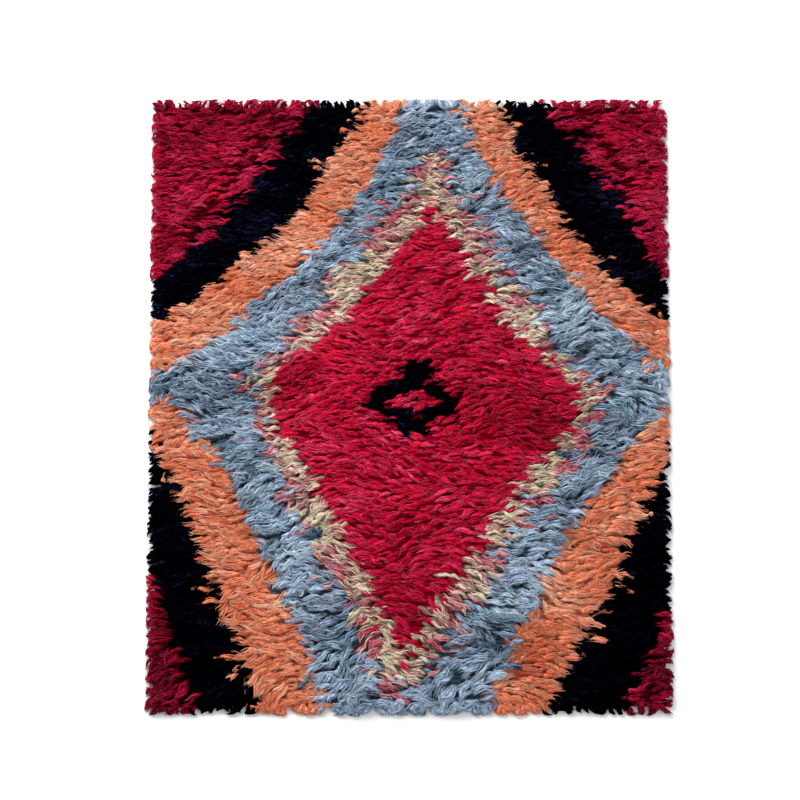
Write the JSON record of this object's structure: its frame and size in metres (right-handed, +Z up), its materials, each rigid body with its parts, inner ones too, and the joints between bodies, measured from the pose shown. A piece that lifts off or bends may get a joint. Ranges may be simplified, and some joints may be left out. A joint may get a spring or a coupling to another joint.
{
  "type": "berber rug",
  "caption": "Flat length of a hand-knotted berber rug with a long lying wool pile, a concave stepped lozenge in bands of colour, and locks drooping over its cut edges.",
  "frame": {"origin": "centre of the underside, on the floor that the rug lies on", "axes": "+Z up out of the pile, +Y along the rug's warp to the picture's upper edge, +X across it to the picture's right"},
  "size_m": [0.782, 1, 0.0229],
  "materials": {
    "wool": "matt long wool pile, crimson with bands of near black, orange, blue-grey, cream and pink"
  },
  "bodies": {
    "root": {"rug": "wool"}
  },
  "joints": []
}
